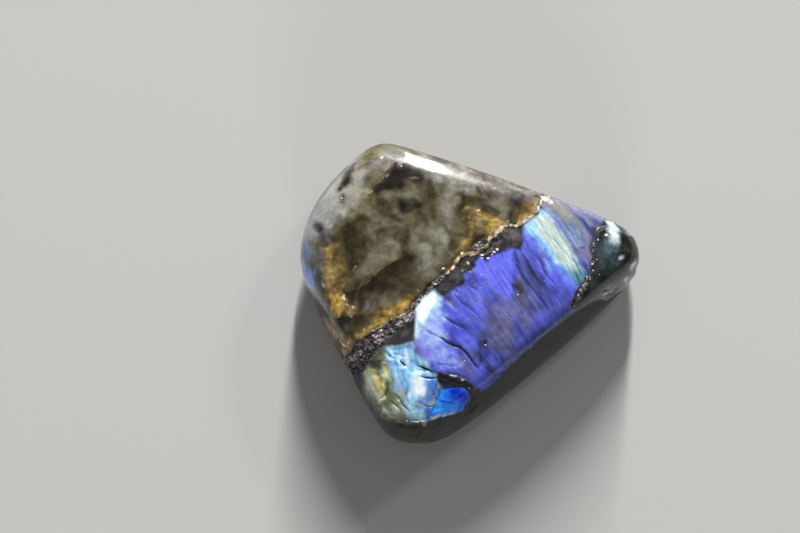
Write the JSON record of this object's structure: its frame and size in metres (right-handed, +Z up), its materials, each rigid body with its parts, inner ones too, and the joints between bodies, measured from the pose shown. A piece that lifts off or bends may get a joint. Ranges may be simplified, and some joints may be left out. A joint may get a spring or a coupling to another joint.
{
  "type": "labradorite freeform",
  "caption": "Palm-sized polished freeform stone, a low rounded wedge with a flat back to rest on and a broad domed display face.",
  "frame": {"origin": "middle of the stone's bounding box, on the flat back that it rests on", "axes": "+Z up out of the display face, +X along the stone's length towards its pointed nose, +Y towards its long back edge"},
  "size_m": [0.0608, 0.0552, 0.0181],
  "materials": {
    "labradorite": "hand polished, glassy, with blue labradorescence",
    "vein_grit": "rough and granular, dark with pale sparkling grains"
  },
  "bodies": {
    "root": {"stone": "labradorite"}
  },
  "joints": []
}
